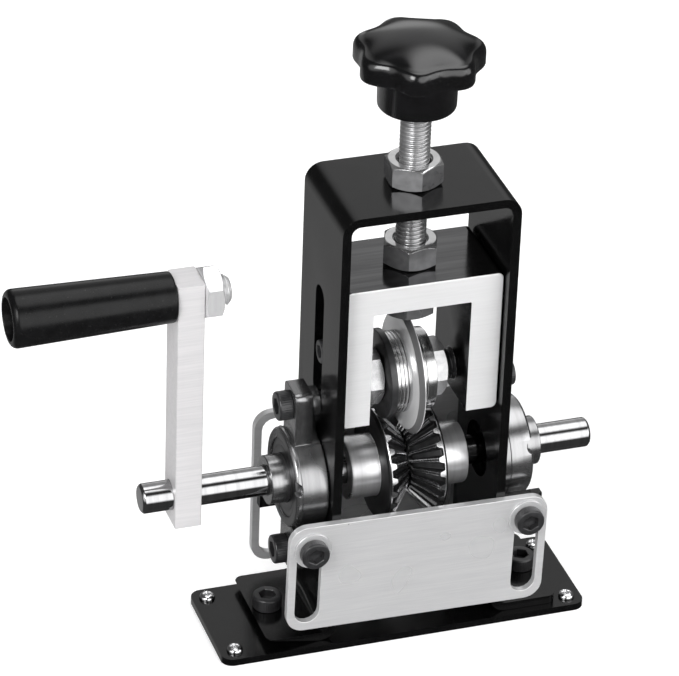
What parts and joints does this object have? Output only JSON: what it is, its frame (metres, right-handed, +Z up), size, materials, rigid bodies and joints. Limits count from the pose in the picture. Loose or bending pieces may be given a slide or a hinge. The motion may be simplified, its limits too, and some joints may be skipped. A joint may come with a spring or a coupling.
{
  "type": "hand crank wire stripper",
  "caption": "Benchtop cable stripper: arch frame on a flat base, hand crank with toothed V rollers, adjustable round blade in a sliding carrier, star knob, and guide plates.",
  "frame": {"origin": "on the underside of the base plate, straight below the axis of the pressure screw", "axes": "+X along the drive shaft from the crank towards its free end, +Y from the front guide plate towards the rear one, +Z up along the pressure screw"},
  "size_m": [0.1993, 0.0528, 0.2152],
  "materials": {
    "black_coat": "gloss black powder coat",
    "light_aluminium": "satin, edges polished",
    "stainless": "brushed",
    "zinc_steel": "bright zinc",
    "black_oxide": "oiled black oxide, satin",
    "housing_iron": "dark gloss",
    "roller_steel": "black oxide with bright ground teeth",
    "knob_plastic": "gloss black",
    "grip_rubber": "semi-gloss black",
    "blade_steel": "ground"
  },
  "bodies": {
    "base": {"base_plate": "black_coat", "arch_frame": "black_coat", "foot_screw_left": "black_oxide", "foot_screw_right": "black_oxide", "mounting_screw_1": "zinc_steel", "mounting_screw_2": "zinc_steel", "mounting_screw_3": "zinc_steel", "mounting_screw_4": "zinc_steel", "bearing_housing_left": "housing_iron", "bearing_outer_ring_left": "stainless", "housing_screw_left_upper": "black_oxide", "housing_screw_left_lower": "black_oxide", "bearing_housing_right": "housing_iron", "bearing_outer_ring_right": "stainless", "housing_screw_right_upper": "black_oxide", "housing_screw_right_lower": "black_oxide", "guide_washer_front_left": "zinc_steel", "guide_screw_front_left": "black_oxide", "guide_washer_front_right": "zinc_steel", "guide_screw_front_right": "black_oxide", "guide_washer_rear_left": "zinc_steel", "guide_screw_rear_left": "black_oxide", "guide_washer_rear_right": "zinc_steel", "guide_screw_rear_right": "black_oxide"},
    "front_guide": {"guide_plate_front": "stainless"},
    "rear_guide": {"guide_plate_rear": "stainless"},
    "lock_nut": {"lock_nut": "zinc_steel"},
    "drive": {"drive_shaft": "zinc_steel", "crank_arm": "light_aluminium", "crank_grub": "black_oxide", "grip_bolt": "zinc_steel", "grip_nut": "zinc_steel", "bearing_inner_ring_left": "housing_iron", "collar_grub_left": "black_oxide", "v_roller_left": "roller_steel", "bearing_inner_ring_right": "housing_iron", "collar_grub_right": "black_oxide", "v_roller_right": "roller_steel"},
    "grip": {"handle_grip": "grip_rubber"},
    "cage_left": {"ball_cage_left": "zinc_steel"},
    "cage_right": {"ball_cage_right": "zinc_steel"},
    "carrier": {"blade_carrier": "light_aluminium", "carrier_guide_screw_left": "black_oxide", "carrier_guide_screw_right": "black_oxide"},
    "blade": {"blade_axle": "black_oxide", "cutting_blade": "blade_steel", "spacer_washer_left_1": "zinc_steel", "spacer_washer_left_2": "zinc_steel", "spacer_washer_left_3": "zinc_steel", "spacer_washer_left_4": "zinc_steel", "spacer_collar": "black_oxide", "spacer_washer_right_1": "zinc_steel", "spacer_washer_right_2": "zinc_steel", "axle_nut_left": "zinc_steel", "axle_nut_right": "zinc_steel"},
    "screw": {"pressure_screw": "zinc_steel", "carrier_nut_upper": "zinc_steel", "carrier_nut_lower": "zinc_steel", "star_knob": "knob_plastic"}
  },
  "joints": [
    {"name": "drive_spin", "type": "hinge", "parent": "base", "child": "drive", "pos_m": [0, 0, 0.056], "axis": [1, 0, 0], "continuous": true},
    {"name": "grip_spin", "type": "hinge", "parent": "drive", "child": "grip", "pos_m": [-0.1, 0, 0.131], "axis": [1, 0, 0], "continuous": true},
    {"name": "cage_spin_left", "type": "hinge", "parent": "base", "child": "cage_left", "pos_m": [-0.0356, 0, 0.056], "axis": [1, 0, 0], "continuous": true},
    {"name": "cage_spin_right", "type": "hinge", "parent": "base", "child": "cage_right", "pos_m": [0.0356, 0, 0.056], "axis": [1, 0, 0], "continuous": true},
    {"name": "carrier_slide", "type": "slide", "parent": "base", "child": "carrier", "axis": [0, 0, 1], "range_m": [-0.0009, 0.0157]},
    {"name": "blade_spin", "type": "hinge", "parent": "carrier", "child": "blade", "pos_m": [0, 0, 0.091], "axis": [1, 0, 0], "continuous": true},
    {"name": "screw_spin", "type": "hinge", "parent": "carrier", "child": "screw", "pos_m": [0, 0, 0.16], "axis": [0, 0, 1], "range_deg": [-220, 3770]},
    {"name": "lock_nut_turn", "type": "hinge", "parent": "base", "child": "lock_nut", "pos_m": [0, 0, 0.166], "axis": [0, 0, 1], "range_deg": [0, 90]},
    {"name": "front_guide_slide", "type": "slide", "parent": "base", "child": "front_guide", "axis": [0.0175, 0, 0.9998], "range_m": [-0.0012, 0.022]},
    {"name": "rear_guide_slide", "type": "slide", "parent": "base", "child": "rear_guide", "axis": [0, 0, 1], "range_m": [-0.008, 0.012]}
  ],
  "couplings": [
    {"joint": "screw_spin", "follows": "carrier_slide", "rad_per_m": 4188.8},
    {"joint": "cage_spin_left", "follows": "drive_spin", "ratio": 0.4316},
    {"joint": "cage_spin_right", "follows": "drive_spin", "ratio": 0.4316}
  ]
}
